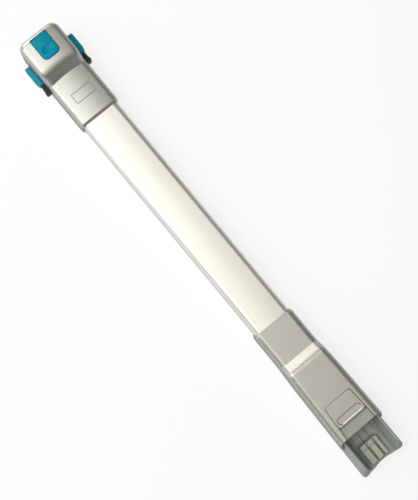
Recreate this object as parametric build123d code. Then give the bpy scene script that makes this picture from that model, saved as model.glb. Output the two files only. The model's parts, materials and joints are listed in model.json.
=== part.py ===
from build123d import *
import os

# Vacuum extension tube: a flattened aluminium tube between two moulded couplings.
# Millimetres. X runs along the tube from the hand unit's end to the floor head's end,
# Y is to the right of someone facing the front, Z points out of the front.
# The tube lies on the flat rear faces of its couplings, at Z = 0.

# Overall length
LENGTH = 627.5

# Tube section
TUBE_WIDTH = 47.5
TUBE_DEPTH = 34.0
TUBE_WALL = 1.5
TUBE_CORNER = 6.5
TUBE_CROWN = 0.8
WEB = 1.2
CHANNEL_DEPTH = 6.0
CHANNEL_WIDTH = 22.0

# Coupling shells
SHELL_WALL = 2.2
TUBE_FIT = 0.3
PART_LINE = 10.0
FRONT_ROUND = 7.0
REAR_ROUND = 5.0
MOUTH_BEVEL = 1.7
UPPER_BEVEL_RUN = 3.0
LOWER_BEVEL_RUN = 3.4
SEAM_WIDTH = 0.4
SEAM_DEPTH = 0.4

# Upper coupling, distances from the upper end
UPPER_LENGTH = 113.9
HUMP_RISE = 13.4
SLOPE_START = 43.2
SLOPE_RUN = 11.7
SHOULDER_ROUND = 15.0
UPPER_CROWN_RADIUS = 170.0
SLOPE_BURIED = 10.0
HUMP_BURIED = 20.0
NOSE_ROUND = 9.5
END_WALL = 3.0

# Socket for the hand unit
SOCKET_DEPTH = 50.0
LINER_WALL = 2.2
LINER_FIT = 0.2
LINER_CORNER = 4.0
LINER_END_WALL = 4.0
GASKET = 2.0
SEAL_LENGTH = 2.5
SEAL_WIDTH = 2.0
SEAL_CORNER = 0.8

# Upper release button
BUTTON_START = 4.5
BUTTON_LENGTH = 28.0
BUTTON_WIDTH = 21.2
BUTTON_THICKNESS = 3.0
BUTTON_CORNER = 5.0
BUTTON_SHARP_CORNER = 0.8
BUTTON_GAP = 0.6
BUTTON_SWING_GAP = 1.0
BUTTON_PIVOT = 18.5
BUTTON_PIVOT_DEPTH = 4.2
DIMPLE_RADIUS = 14.0
DIMPLE_DEPTH = 1.2
DIMPLE_FROM_EDGE = 9.0
HOOK_START = 8.0
HOOK_THICKNESS = 3.0
HOOK_WIDTH = 8.0
HOOK_REACH = 1.6
HOOK_SWING = 2.6
HOOK_ROUND = 1.0
BARREL_WALL = 1.2
BUTTON_EDGE = 0.5

# Side clips, distances from the upper end
CLIP_START = 20.2
CLIP_LENGTH = 26.3
CLIP_HEIGHT = 13.0
CLIP_LOW = 18.0
CLIP_STAND_OFF = 0.8
CLIP_THICKNESS = 7.0
CLIP_TIP_ROUND = 1.6
CLIP_TIP_DROP = 0.4
CLIP_TIP_LENGTH = 4.0
CLIP_HEEL_DROP = 1.6
CLIP_HEEL_LENGTH = 5.0
CLIP_BACK_ROUND = 12.0
CLIP_EDGE = 1.6
CLIP_GAP = 0.6
CLIP_EAR = 3.2
CLIP_EAR_GAP = 0.3
CLIP_PIVOT_STEP = 4.5
CLIP_BARREL = 2.0
FOOT_LENGTH = 12.4
FOOT_REACH = 6.2
FOOT_TOE = 3.4
FOOT_TOE_RUN = 2.4
FOOT_TOE_STEP = 0.9
FOOT_ROUND = 1.6
BRACKET_PLATE = 1.2

# Lower coupling, distances from the lower end
LOWER_LENGTH = 209.9
RAMP_BASE = 164.1
RAMP_RUN = 10.7
RAMP_RISE = 9.4
RAMP_TOP_ROUND = 10.0
RAMP_BASE_ROUND = 1.0
FLARE_RUN = 26.0
FLARE_STEP = 1.5
FLARE_END = 4.7
FLARE_ROUND = 300.0
RAKE_FRONT = 58.1
RAKE_SIDE = 46.1
RAKE_HEIGHT = 20.0
RAKE_ROUND = 8.0

# Latch button of the lower coupling, distances from the lower end
CAP_START = 100.3
CAP_LENGTH = 28.4
CAP_WIDTH_UPPER = 35.9
CAP_WIDTH_LOWER = 39.2
CAP_THICKNESS = 2.8
CAP_CORNER = 3.0
CAP_GAP = 0.5
RECESS_FROM_EDGE = 6.3
RECESS_LENGTH = 31.6
RECESS_WIDTH = 7.0
RECESS_DEPTH = 1.0
RECESS_TAPER = 50.0
CAP_EDGE = 0.5
LEVER_THICKNESS = 2.6
LEVER_HEAD = 3.4
LEVER_PIVOT = 106.0
LEVER_BARREL = 2.8
LEVER_BARREL_WIDTH = 24.0
LIP_RISE = 0.8
LIP_GAP = 1.0
LIP_LENGTH = 13.3
LIP_CORNER = 1.0

# Neck for the floor head
NECK_LENGTH = 167.5
NECK_INSET = 0.4
NECK_FIT = 0.2
NECK_COLLAR = 68.5
NECK_DUCT_END = 56.5
NECK_RIM = 36.0
NECK_HOLLOW = 6.0
NECK_BASE_HALF = 30.5
NECK_RIM_HALF = 25.7
NECK_END_RAKE = 15.0
NECK_TIP_ROUND = 4.0
RIM_ROUND = 0.8
RIM_INNER_ROUND = 0.5
TROUGH_TOP = 23.5
TROUGH_LEDGE = 18.6
LEDGE_RISE = 2.6
LEDGE_NARROW = 15.3
LEDGE_BEND_START = 45.0
LEDGE_BEND_END = 28.5
LEDGE_ROUND = 6.0
GROOVE_WIDTH = 1.4
GROOVE_DEPTH = 0.8

# Electrical contacts and leads
CONTACT_PITCH = 9.4
CONTACT_THICKNESS = 0.8
BLADE_WIDTH = 5.0
BLADE_REACH = 10.0
BLADE_TIP = 1.0
BLOCK_WIDTH = 23.6
LOWER_BLOCK_OFFSET = 1.8
BLOCK_HEIGHT = 6.0
UPPER_BLOCK_LENGTH = 12.0
LOWER_BLOCK_LENGTH = 24.9
LOWER_BLOCK_END = 10.1
BLOCK_HEAD_LENGTH = 5.6
BLOCK_HEAD_RISE = 2.8
BLOCK_ROUND = 0.6
SLOT_WIDTH = 3.0
SLOT_DEPTH = 3.5
STRIP_FIT = 0.1
LEAD_DIAMETER = 2.6
LEAD_FIT = 0.3

# Pins, springs and screws
PIN_RADIUS = 1.25
LATCH_PIN_RADIUS = 1.5
CLIP_PIN_RADIUS = 1.0
PIN_FIT = 0.05
PIN_END_GAP = 0.3
RIB_THICKNESS = 2.5
RIB_LENGTH = 8.0
RIB_BELOW_PIN = 3.2
SPRING_THICKNESS = 0.5
SPRING_WIDTH = 6.0
SPRING_BASE = 12.0
SPRING_LEAN = 5.0
CLIP_SPRING_WIDTH = 8.0
CLIP_SPRING_SPAN = 12.0
SCREW_HEAD_RADIUS = 2.6
SCREW_HEAD_HEIGHT = 1.2
SCREW_RECESS = 0.3
SCREW_RADIUS = 1.4
SCREW_LENGTH = 8.0
SCREW_FIT = 0.05
SCREW_HEAD_FIT = 0.3
SCREW_SPREAD = 34.0
SCREW_FROM_SLEEVE_END = 18.0
LINER_SCREW = 45.0
LINER_BOSS_RADIUS = 3.6
NECK_SCREW = 74.5
DRIVE_WIDTH = 0.7
DRIVE_REACH = 1.6
DRIVE_DEPTH = 0.7

# Small allowances: past a face that a cut goes through, into a wall that a rib grows from,
# and the distance below which two levels count as the same
PAST = 1.0
JOIN = 0.5
SAME = 0.01

# Ends and levels that the pieces share
UPPER_END = -LENGTH / 2
LOWER_END = LENGTH / 2
SLEEVE_END = UPPER_END + UPPER_LENGTH
SLEEVE_START = LOWER_END - LOWER_LENGTH
SOCKET_END = UPPER_END + SOCKET_DEPTH
LINER_END = SOCKET_END + LINER_END_WALL
TUBE_START = LINER_END + GASKET
NECK_START = LOWER_END - NECK_LENGTH
TUBE_END = NECK_START - GASKET
TUBE_BOTTOM = SHELL_WALL + TUBE_FIT
TUBE_TOP = TUBE_BOTTOM + TUBE_DEPTH
SLEEVE_TOP = TUBE_TOP + TUBE_FIT + SHELL_WALL
SLEEVE_HALF = TUBE_WIDTH / 2 + TUBE_FIT + SHELL_WALL
HUMP_TOP = SLEEVE_TOP + HUMP_RISE
RAISED_TOP = SLEEVE_TOP + RAMP_RISE
CHANNEL_BOTTOM = TUBE_BOTTOM + TUBE_WALL
CHANNEL_TOP = CHANNEL_BOTTOM + CHANNEL_DEPTH
WEB_TOP = CHANNEL_TOP + WEB
CONTACT_Z = CHANNEL_BOTTOM + CHANNEL_DEPTH / 2
LINER_HALF = SLEEVE_HALF - SHELL_WALL - LINER_FIT
LINER_BOTTOM = SHELL_WALL + LINER_FIT
LINER_TOP = SLEEVE_TOP - SHELL_WALL - LINER_FIT
SOCKET_HALF = LINER_HALF - LINER_WALL
SOCKET_BOTTOM = LINER_BOTTOM + LINER_WALL
SOCKET_TOP = LINER_TOP - LINER_WALL
SOCKET_CORNER = LINER_CORNER - LINER_WALL
SCREW_SEAT = SCREW_RECESS + SCREW_HEAD_HEIGHT
SCREW_TIP = SCREW_SEAT + SCREW_LENGTH


# Shared shapes


def polygon(plane, corners):
    """Face with straight sides in a plane, from corners (a, b, rounding radius)."""
    outline = make_face(plane * Polyline(*[(a, b) for a, b, _ in corners], close=True))
    for a, b, radius in corners:
        if radius:
            spot = plane.from_local_coords((a, b))
            nearest = min(outline.vertices(), key=lambda corner: (Vector(corner) - spot).length)
            outline = fillet(nearest, radius)
    return outline


def block(x0, x1, y0, y1, z0, z1):
    """Box between two opposite corners."""
    return Pos((x0 + x1) / 2, (y0 + y1) / 2, (z0 + z1) / 2) * Box(x1 - x0, y1 - y0, z1 - z0)


def duct(x0, x1, half, low, high, corner):
    """Bar along X with a rounded rectangular section, centred across."""
    middle = Plane.YZ.offset(x0) * Pos(0, (low + high) / 2)
    return extrude(middle * RectangleRounded(2 * half, high - low, corner), x1 - x0)


def rod_y(x, z, radius, y0, y1):
    """Round bar along Y."""
    return Pos(x, (y0 + y1) / 2, z) * Rot(90, 0, 0) * Cylinder(radius, y1 - y0)


def rod_z(x, y, radius, z0, z1):
    """Round bar along Z."""
    return Pos(x, y, (z0 + z1) / 2) * Cylinder(radius, z1 - z0)


def rod_x(y, z, radius, x0, x1):
    """Round bar along X."""
    return Pos((x0 + x1) / 2, y, z) * Rot(0, 90, 0) * Cylinder(radius, x1 - x0)


def bent_strip(plane, points, width):
    """Leaf spring: a thin strip that follows the points, as wide as given across the plane."""
    face = make_face(offset(plane * Polyline(*points), SPRING_THICKNESS / 2, side=Side.BOTH))
    return extrude(face, width / 2, both=True)


def rim_edges(form, front, open_ends):
    """Long edges of a coupling's front or rear, without its folds and the edges of its open ends."""
    box = form.bounding_box()
    middle_z = (box.max.Z + box.min.Z) / 2
    found = []
    for edge in form.edges():
        middle = edge.center()
        extent = edge.bounding_box().size
        at_open_end = any(abs(middle.X - x) < SAME for x in open_ends)
        upright = extent.Z > SAME and extent.X < SAME
        fold = extent.Y > 2 * extent.X and middle.X - box.min.X > SAME
        near = middle.Z > middle_z if front else abs(middle.Z - box.min.Z) < SAME
        if near and not (at_open_end or upright or fold):
            found.append(edge)
    return found


def rounded_form(solid, plan, open_ends, front_round):
    """Part of a solid inside a plan, with its long front edges rounded."""
    form = solid & extrude(plan, LENGTH, both=True)
    return fillet(rim_edges(form, True, open_ends), front_round)


def bevelled(end, run):
    """The form that an end face belongs to, with the rim of that face bevelled over a run along X."""
    return chamfer(end.edges(), MOUTH_BEVEL, run, reference=end)


def split_front(part):
    """The half of a coupling shell in front of its parting line."""
    return part & block(-LENGTH, LENGTH, -LENGTH, LENGTH, PART_LINE, LENGTH)


def split_rear(part, seam_form):
    """The half of a coupling shell behind its parting line, with a shadow gap along that line."""
    shell = part & block(-LENGTH, LENGTH, -LENGTH, LENGTH, -LENGTH, PART_LINE)
    return shell - (block(-LENGTH, LENGTH, -LENGTH, LENGTH, PART_LINE - SEAM_WIDTH, LENGTH) - seam_form)


# Tube


def tube_outline(x, grow):
    """Outer outline of the tube, with a slightly crowned front, grown by a clearance or a wall."""
    half = TUBE_WIDTH / 2 + grow
    low = TUBE_BOTTOM - grow
    high = TUBE_TOP + grow
    shoulder = high - TUBE_CROWN
    sides = Polyline((-half, shoulder), (-half, low), (half, low), (half, shoulder))
    crown = ThreePointArc((half, shoulder), (0, high), (-half, shoulder))
    face = make_face(Plane.YZ.offset(x) * (sides + crown))
    return fillet(face.vertices(), TUBE_CORNER + grow)


def band(x, y0, y1, z0, z1):
    """Rectangle in the section at x."""
    return Plane.YZ.offset(x) * Pos((y0 + y1) / 2, (z0 + z1) / 2) * Rectangle(y1 - y0, z1 - z0)


def airway_face(x):
    """Air passage of the tube, in front of its web."""
    return tube_outline(x, -TUBE_WALL) & band(x, -TUBE_WIDTH, TUBE_WIDTH, WEB_TOP, LENGTH)


def channel_face(x):
    """Wire channel of the tube, behind its web."""
    half = CHANNEL_WIDTH / 2
    return band(x, -half, half, CHANNEL_BOTTOM, CHANNEL_TOP)


def port_faces(x):
    """Hollow screw ports on both sides of the wire channel."""
    inner = CHANNEL_WIDTH / 2 + WEB
    right = tube_outline(x, -TUBE_WALL) & band(x, inner, TUBE_WIDTH, -LENGTH, CHANNEL_TOP)
    left = tube_outline(x, -TUBE_WALL) & band(x, -TUBE_WIDTH, -inner, -LENGTH, CHANNEL_TOP)
    return right, left


def tube_section(x):
    """Section of the extrusion."""
    right, left = port_faces(x)
    return tube_outline(x, 0) - airway_face(x) - channel_face(x) - right - left


def tube_screw_places():
    """Centres of the screws that go through the rear shells into the tube's ports."""
    half = SCREW_SPREAD / 2
    upper = SLEEVE_END - SCREW_FROM_SLEEVE_END
    lower = SLEEVE_START + SCREW_FROM_SLEEVE_END
    return [(upper, half), (upper, -half)], [(lower, half), (lower, -half)]


def make_tube():
    """Aluminium extrusion with its screw holes."""
    tube = extrude(tube_section(TUBE_START), TUBE_END - TUBE_START)
    upper, lower = tube_screw_places()
    for x, y in upper + lower:
        tube -= rod_z(x, y, SCREW_RADIUS + SCREW_FIT, 0, CHANNEL_BOTTOM + PAST)
    return tube


def make_gasket(x):
    """Rubber gasket that repeats the tube's section at its end."""
    return extrude(tube_section(x), GASKET)


# Screws


def screw(x, y):
    """Pan-head screw driven from the rear, with a crossed drive."""
    part = rod_z(x, y, SCREW_HEAD_RADIUS, SCREW_RECESS, SCREW_SEAT)
    part += rod_z(x, y, SCREW_RADIUS, SCREW_SEAT, SCREW_TIP)
    reach = DRIVE_REACH
    drive_top = SCREW_RECESS + DRIVE_DEPTH
    part -= block(x - reach, x + reach, y - DRIVE_WIDTH / 2, y + DRIVE_WIDTH / 2, 0, drive_top)
    part -= block(x - DRIVE_WIDTH / 2, x + DRIVE_WIDTH / 2, y - reach, y + reach, 0, drive_top)
    return part


def screw_clearance(x, y):
    """Counterbore and hole for one screw through a rear shell."""
    hole = rod_z(x, y, SCREW_HEAD_RADIUS + SCREW_HEAD_FIT, -PAST, SCREW_SEAT)
    return hole + rod_z(x, y, SCREW_RADIUS + SCREW_FIT, -PAST, SHELL_WALL + PAST)


# Upper coupling shells


def crowned(side, top):
    """Solid with a given side view, whose front is crowned across the tube."""
    front = rod_x(0, top - UPPER_CROWN_RADIUS, UPPER_CROWN_RADIUS, -LENGTH, LENGTH)
    return extrude(side, LENGTH, both=True) & front


def hump_side(inset, x0):
    """Side view of the hump; its slope and underside end inside the sleeve."""
    slope = Vector(SLOPE_RUN, HUMP_RISE)
    turn = inset * (slope.length - SLOPE_RUN) / HUMP_RISE
    shoulder = UPPER_END + SLOPE_START - turn
    buried_top = SLEEVE_TOP - SLOPE_BURIED - inset
    buried_end = shoulder + SLOPE_RUN * (HUMP_RISE + SLOPE_BURIED) / HUMP_RISE
    low = SLEEVE_TOP - HUMP_BURIED
    return polygon(
        Plane.XZ,
        [
            (x0, low, 0),
            (buried_end, low, 0),
            (buried_end, buried_top, 0),
            (shoulder, HUMP_TOP - inset, 0),
            (x0, HUMP_TOP - inset, 0),
        ],
    )


def upper_form(inset, start, corner):
    """Outer form of the upper coupling, or the same form moved inwards by a wall."""
    x0 = UPPER_END + start
    x1 = SLEEVE_END if inset == 0 else SLEEVE_END + PAST
    top = SLEEVE_TOP - inset
    sleeve = crowned(polygon(Plane.XZ, [(x0, inset, 0), (x1, inset, 0), (x1, top, 0), (x0, top, 0)]), top)
    half = SLEEVE_HALF - inset
    plan = polygon(
        Plane.XY,
        [(x0, -half, corner), (x1, -half, 0), (x1, half, 0), (x0, half, corner)],
    )
    sleeve = rounded_form(sleeve, plan, [x1], FRONT_ROUND - inset)
    sleeve = fillet(rim_edges(sleeve, False, [x1]), REAR_ROUND - inset)
    hump = crowned(hump_side(inset, x0), HUMP_TOP - inset) & extrude(plan, LENGTH, both=True)
    crest = [edge for edge in hump.edges() if edge.center().Z > SLEEVE_TOP]
    crest = [edge for edge in crest if abs(edge.center().X - UPPER_END - SLOPE_START) < SLOPE_RUN / 2]
    crest = [edge for edge in crest if abs(edge.center().Y) < half - SAME]
    hump = fillet(crest, SHOULDER_ROUND - inset)
    return sleeve + fillet(rim_edges(hump, True, []), FRONT_ROUND - inset)


def upper_outer():
    """Outer form of the upper coupling."""
    return upper_form(0, 0, NOSE_ROUND)


def upper_shells():
    """Both shells of the upper coupling in one, before they are parted."""
    cavity = upper_form(SHELL_WALL, END_WALL, NOSE_ROUND - END_WALL)
    cavity &= block(UPPER_END, TUBE_START, -LENGTH, LENGTH, -LENGTH, LENGTH)
    bore_start = TUBE_START - GASKET - PAST
    bore = extrude(tube_outline(bore_start, TUBE_FIT), SLEEVE_END - bore_start + PAST)
    mouth = duct(
        UPPER_END - PAST,
        UPPER_END + END_WALL + PAST,
        SOCKET_HALF,
        SOCKET_BOTTOM,
        SOCKET_TOP,
        SOCKET_CORNER,
    )
    outer = upper_outer()
    sleeve_end = outer.faces().sort_by(Axis.X)[-1]
    return bevelled(sleeve_end, UPPER_BEVEL_RUN) - cavity - bore - mouth


def button_plan(gap, swing_gap):
    """Outline of the upper button or, with gaps, of its window."""
    x0 = UPPER_END + BUTTON_START - gap
    x1 = UPPER_END + BUTTON_START + BUTTON_LENGTH + swing_gap
    half = BUTTON_WIDTH / 2 + gap
    return polygon(
        Plane.XY,
        [
            (x0, -half, BUTTON_SHARP_CORNER + gap),
            (x1, -half, BUTTON_CORNER + gap),
            (x1, half, BUTTON_CORNER + gap),
            (x0, half, BUTTON_SHARP_CORNER + gap),
        ],
    )


def button_pivot():
    """Place of the upper button's pin along X and Z."""
    return UPPER_END + BUTTON_PIVOT, HUMP_TOP - BUTTON_PIVOT_DEPTH


def pin_rib(x, z, y0, y1, top, radius):
    """Rib under a shell's front wall with a hole for one end of a pin."""
    rib = block(x - RIB_LENGTH / 2, x + RIB_LENGTH / 2, y0, y1, z - RIB_BELOW_PIN, top)
    return rib - rod_y(x, z, radius + PIN_FIT, y0 - PAST, y1 + PAST)


def clip_window():
    """Opening in the right flank that takes the clip bracket."""
    x0 = UPPER_END + CLIP_START - CLIP_GAP
    x1 = clip_foot_end() + PIN_END_GAP
    z0 = CLIP_LOW - CLIP_GAP
    z1 = CLIP_LOW + CLIP_HEIGHT + CLIP_GAP
    return block(x0, x1, LINER_HALF, SLEEVE_HALF + PAST, z0, z1)


def make_upper_front_shell(shells):
    """Front shell: sleeve, hump, button window and clip openings."""
    shell = split_front(shells)
    window = extrude(button_plan(BUTTON_GAP, BUTTON_SWING_GAP), LENGTH)
    shell -= window & block(-LENGTH, LENGTH, -LENGTH, LENGTH, SLEEVE_TOP, LENGTH)
    x, z = button_pivot()
    inner = BUTTON_WIDTH / 2 + BUTTON_GAP
    for y0, y1 in [(inner, inner + RIB_THICKNESS), (-inner - RIB_THICKNESS, -inner)]:
        shell += pin_rib(x, z, y0, y1, HUMP_TOP - SHELL_WALL / 2, PIN_RADIUS)
    window = clip_window()
    return shell - window - mirror(window, Plane.XZ)


def make_upper_rear_shell(shells):
    """Rear shell with its screw holes."""
    shell = split_rear(shells, upper_form(SEAM_DEPTH, SEAM_DEPTH, NOSE_ROUND - SEAM_DEPTH))
    for x, y in tube_screw_places()[0] + liner_screw_places():
        shell -= screw_clearance(x, y)
    return shell


# Socket liner, seal and contacts of the upper coupling


def liner_screw_places():
    """Centres of the screws that hold the liner to the rear shell."""
    x = UPPER_END + LINER_SCREW
    return [(x, SCREW_SPREAD / 2), (x, -SCREW_SPREAD / 2)]


def contact_sides():
    """Places of the two contacts and leads across the tube."""
    return [CONTACT_PITCH / 2, -CONTACT_PITCH / 2]


def hook_slot():
    """Slot in the liner that lets the button's hook swing."""
    x0 = UPPER_END + HOOK_START - HOOK_SWING - BUTTON_GAP
    x1 = UPPER_END + HOOK_START + HOOK_THICKNESS + BUTTON_GAP
    half = HOOK_WIDTH / 2 + BUTTON_GAP
    return block(x0, x1, -half, half, SOCKET_TOP - PAST, LINER_TOP + PAST)


def make_liner():
    """Socket liner: open at the mouth, closed by a wall with the air passage at the tube's end."""
    start = UPPER_END + END_WALL + LINER_FIT
    liner = duct(start, LINER_END, LINER_HALF, LINER_BOTTOM, LINER_TOP, LINER_CORNER)
    inset = SHELL_WALL + LINER_FIT
    liner &= upper_form(inset, END_WALL + LINER_FIT, NOSE_ROUND - END_WALL - LINER_FIT)
    liner -= duct(start - PAST, SOCKET_END, SOCKET_HALF, SOCKET_BOTTOM, SOCKET_TOP, SOCKET_CORNER)
    boss_top = SOCKET_BOTTOM + BLOCK_HEIGHT
    for x, y in liner_screw_places():
        liner += rod_z(x, y, LINER_BOSS_RADIUS, LINER_BOTTOM + JOIN, boss_top)
        liner -= rod_z(x, y, SCREW_RADIUS + SCREW_FIT, 0, SCREW_TIP + JOIN)
    liner -= extrude(airway_face(SOCKET_END - PAST), LINER_END_WALL + 2 * PAST) & block(
        SOCKET_END - PAST, LINER_END + PAST, -SOCKET_HALF, SOCKET_HALF, WEB_TOP, SOCKET_TOP
    )
    for y in contact_sides():
        liner -= rod_x(y, CONTACT_Z, LEAD_DIAMETER / 2 + LEAD_FIT, SOCKET_END - PAST, LINER_END + PAST)
    return liner - hook_slot()


def make_socket_seal():
    """Soft ring that the hand unit's nozzle presses on."""
    low = SOCKET_BOTTOM + BLOCK_HEIGHT + LEAD_FIT
    x0 = SOCKET_END - SEAL_LENGTH
    half = SOCKET_HALF - LINER_FIT
    high = SOCKET_TOP - LINER_FIT
    seal = duct(x0, SOCKET_END, half, low, high, SOCKET_CORNER)
    inner_low = low + SEAL_WIDTH
    inner_high = high - SEAL_WIDTH
    return seal - duct(x0 - PAST, SOCKET_END + PAST, half - SEAL_WIDTH, inner_low, inner_high, SEAL_CORNER)


def make_upper_blades():
    """Two brass blades that stand out into the socket."""
    blades = []
    tip = SOCKET_END - UPPER_BLOCK_LENGTH - BLADE_REACH
    half = BLADE_WIDTH / 2
    z0 = CONTACT_Z - CONTACT_THICKNESS / 2
    for y in contact_sides():
        blade = block(tip, SOCKET_END, y - half, y + half, z0, z0 + CONTACT_THICKNESS)
        blades.append(chamfer(blade.edges().filter_by(Axis.Z).group_by(Axis.X)[0], BLADE_TIP))
    return Compound(children=blades)


def make_upper_block():
    """Terminal block at the bottom of the socket."""
    x0 = SOCKET_END - UPPER_BLOCK_LENGTH
    half = BLOCK_WIDTH / 2
    part = block(x0, SOCKET_END, -half, half, SOCKET_BOTTOM, SOCKET_BOTTOM + BLOCK_HEIGHT)
    part = fillet(part.edges().filter_by(Axis.X).group_by(Axis.Z)[-1], BLOCK_ROUND)
    slot = BLADE_WIDTH / 2
    z0 = CONTACT_Z - CONTACT_THICKNESS / 2
    for y in contact_sides():
        part -= block(x0 - PAST, SOCKET_END + PAST, y - slot, y + slot, z0, z0 + CONTACT_THICKNESS)
    return part


# Upper button


def make_button():
    """Rocker button: curved plate, barrel for the pin and hook that reaches into the socket."""
    plate = extrude(button_plan(0, 0), LENGTH) & upper_outer()
    plate &= block(-LENGTH, LENGTH, -LENGTH, LENGTH, HUMP_TOP - BUTTON_THICKNESS, LENGTH)
    x, z = button_pivot()
    dimple_x = UPPER_END + BUTTON_START + BUTTON_LENGTH - DIMPLE_FROM_EDGE
    plate = fillet(plate.edges().group_by(Axis.Z)[-1], BUTTON_EDGE)
    plate -= Pos(dimple_x, 0, HUMP_TOP + DIMPLE_RADIUS - DIMPLE_DEPTH) * Sphere(DIMPLE_RADIUS)
    half = BUTTON_WIDTH / 2
    barrel = PIN_RADIUS + PIN_FIT + BARREL_WALL
    button = plate + rod_y(x, z, barrel, -half, half)
    x0 = UPPER_END + HOOK_START
    x1 = x0 + HOOK_THICKNESS
    tip = SOCKET_TOP - HOOK_REACH
    under = HUMP_TOP - BUTTON_THICKNESS + JOIN
    hook = polygon(
        Plane.XZ,
        [
            (x0, under, 0),
            (x0, tip + HOOK_THICKNESS / 2, 0),
            (x0 + HOOK_THICKNESS / 2, tip, 0),
            (x1, tip, 0),
            (x1, z - barrel, HOOK_ROUND),
            (x, z - barrel, 0),
            (x, under, 0),
        ],
    )
    button += extrude(hook, HOOK_WIDTH / 2, both=True)
    return button - rod_y(x, z, PIN_RADIUS + PIN_FIT, -half - PAST, half + PAST)


def make_button_pin():
    """Steel pin of the upper button."""
    x, z = button_pivot()
    half = BUTTON_WIDTH / 2 + BUTTON_GAP + RIB_THICKNESS - PIN_END_GAP
    return rod_y(x, z, PIN_RADIUS, -half, half)


def make_button_spring():
    """Leaf spring between the liner and the pressed end of the button."""
    foot = LINER_TOP + SPRING_THICKNESS / 2
    top = HUMP_TOP - BUTTON_THICKNESS - SPRING_THICKNESS / 2
    bend = UPPER_END + BUTTON_START + BUTTON_LENGTH
    points = [(bend - SPRING_BASE, foot), (bend, foot), (bend - SPRING_LEAN, top)]
    return bent_strip(Plane.XZ, points, SPRING_WIDTH)


# Side clips, made for the right side and mirrored to the left


def clip_pivot():
    """Place of the right clip's pin along X and Y."""
    x = UPPER_END + CLIP_START + CLIP_LENGTH + CLIP_PIVOT_STEP
    return x, SLEEVE_HALF + CLIP_EAR_GAP + CLIP_BARREL


def clip_foot_end():
    """Lower end of the bracket's foot."""
    return UPPER_END + CLIP_START + CLIP_LENGTH + FOOT_LENGTH


def make_clip_bracket():
    """Dark bracket: plate in the flank's opening and a foot with two ears for the pin."""
    x0 = UPPER_END + CLIP_START - CLIP_GAP + PIN_END_GAP
    x1 = clip_foot_end()
    ears_start = UPPER_END + CLIP_START + CLIP_LENGTH + CLIP_EAR_GAP
    z0 = CLIP_LOW
    z1 = CLIP_LOW + CLIP_HEIGHT
    y0 = LINER_HALF + LINER_FIT
    outer = SLEEVE_HALF + FOOT_REACH
    plate = block(x0, x1, y0, y0 + BRACKET_PLATE, z0, z1)
    foot = polygon(
        Plane.XY,
        [
            (ears_start, y0, 0),
            (x1, y0, 0),
            (x1, outer, FOOT_ROUND),
            (x1 - FOOT_TOE, outer, FOOT_ROUND),
            (x1 - FOOT_TOE - FOOT_TOE_RUN, outer - FOOT_TOE_STEP, FOOT_ROUND),
            (ears_start, outer - FOOT_TOE_STEP, FOOT_ROUND),
        ],
    )
    foot = Pos(0, 0, z0) * extrude(foot, z1 - z0)
    x, y = clip_pivot()
    gap_end = x + CLIP_BARREL + CLIP_EAR_GAP
    low = z0 + CLIP_EAR
    high = z1 - CLIP_EAR
    foot -= block(ears_start - PAST, gap_end, y0 + BRACKET_PLATE, outer + PAST, low, high)
    return plate + foot - rod_z(x, y, CLIP_PIN_RADIUS + PIN_FIT, z0 - PAST, z1 + PAST)


def make_clip_lever():
    """Teal lever: a thick plate with a rounded back and a barrel between the bracket's ears."""
    x0 = UPPER_END + CLIP_START
    x1 = x0 + CLIP_LENGTH
    inner = SLEEVE_HALF + CLIP_STAND_OFF
    outer = inner + CLIP_THICKNESS
    z0 = CLIP_LOW
    z1 = CLIP_LOW + CLIP_HEIGHT
    x, y = clip_pivot()
    plan = polygon(
        Plane.XY,
        [
            (x0, inner, 0),
            (x1, inner, 0),
            (x1, outer - CLIP_HEEL_DROP, CLIP_TIP_ROUND),
            (x1 - CLIP_HEEL_LENGTH, outer, CLIP_BACK_ROUND),
            (x0 + CLIP_TIP_LENGTH, outer, CLIP_BACK_ROUND),
            (x0, outer - CLIP_TIP_DROP, CLIP_TIP_ROUND),
        ],
    )
    lever = Pos(0, 0, z0) * extrude(plan, z1 - z0)
    rims = lever.edges().group_by(Axis.Z)
    lever = fillet(rims[-1] + rims[0], CLIP_EDGE)
    low = z0 + CLIP_EAR + CLIP_EAR_GAP
    high = z1 - CLIP_EAR - CLIP_EAR_GAP
    lever += rod_z(x, y, CLIP_BARREL, low, high)
    lever += block(x1 - 2 * PAST, x, y - CLIP_BARREL + JOIN, y + CLIP_BARREL, low, high)
    return lever - rod_z(x, y, CLIP_PIN_RADIUS + PIN_FIT, z0 - PAST, z1 + PAST)


def make_clip_pin():
    """Steel pin of the right clip."""
    x, y = clip_pivot()
    return rod_z(x, y, CLIP_PIN_RADIUS, CLIP_LOW + PIN_END_GAP, CLIP_LOW + CLIP_HEIGHT - PIN_END_GAP)


def make_clip_spring():
    """Bowed leaf between the bracket's plate and the lever's upper end."""
    foot = LINER_HALF + LINER_FIT + BRACKET_PLATE + SPRING_THICKNESS / 2
    top = SLEEVE_HALF + CLIP_STAND_OFF - SPRING_THICKNESS / 2
    x0 = UPPER_END + CLIP_START + CLIP_GAP
    points = [(x0 + CLIP_SPRING_SPAN, foot), (x0 + CLIP_SPRING_SPAN / 2, foot), (x0, top)]
    spring = bent_strip(Plane.XY, points, CLIP_SPRING_WIDTH)
    return Pos(0, 0, CLIP_LOW + CLIP_HEIGHT / 2) * spring


# Lower coupling shells


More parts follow.
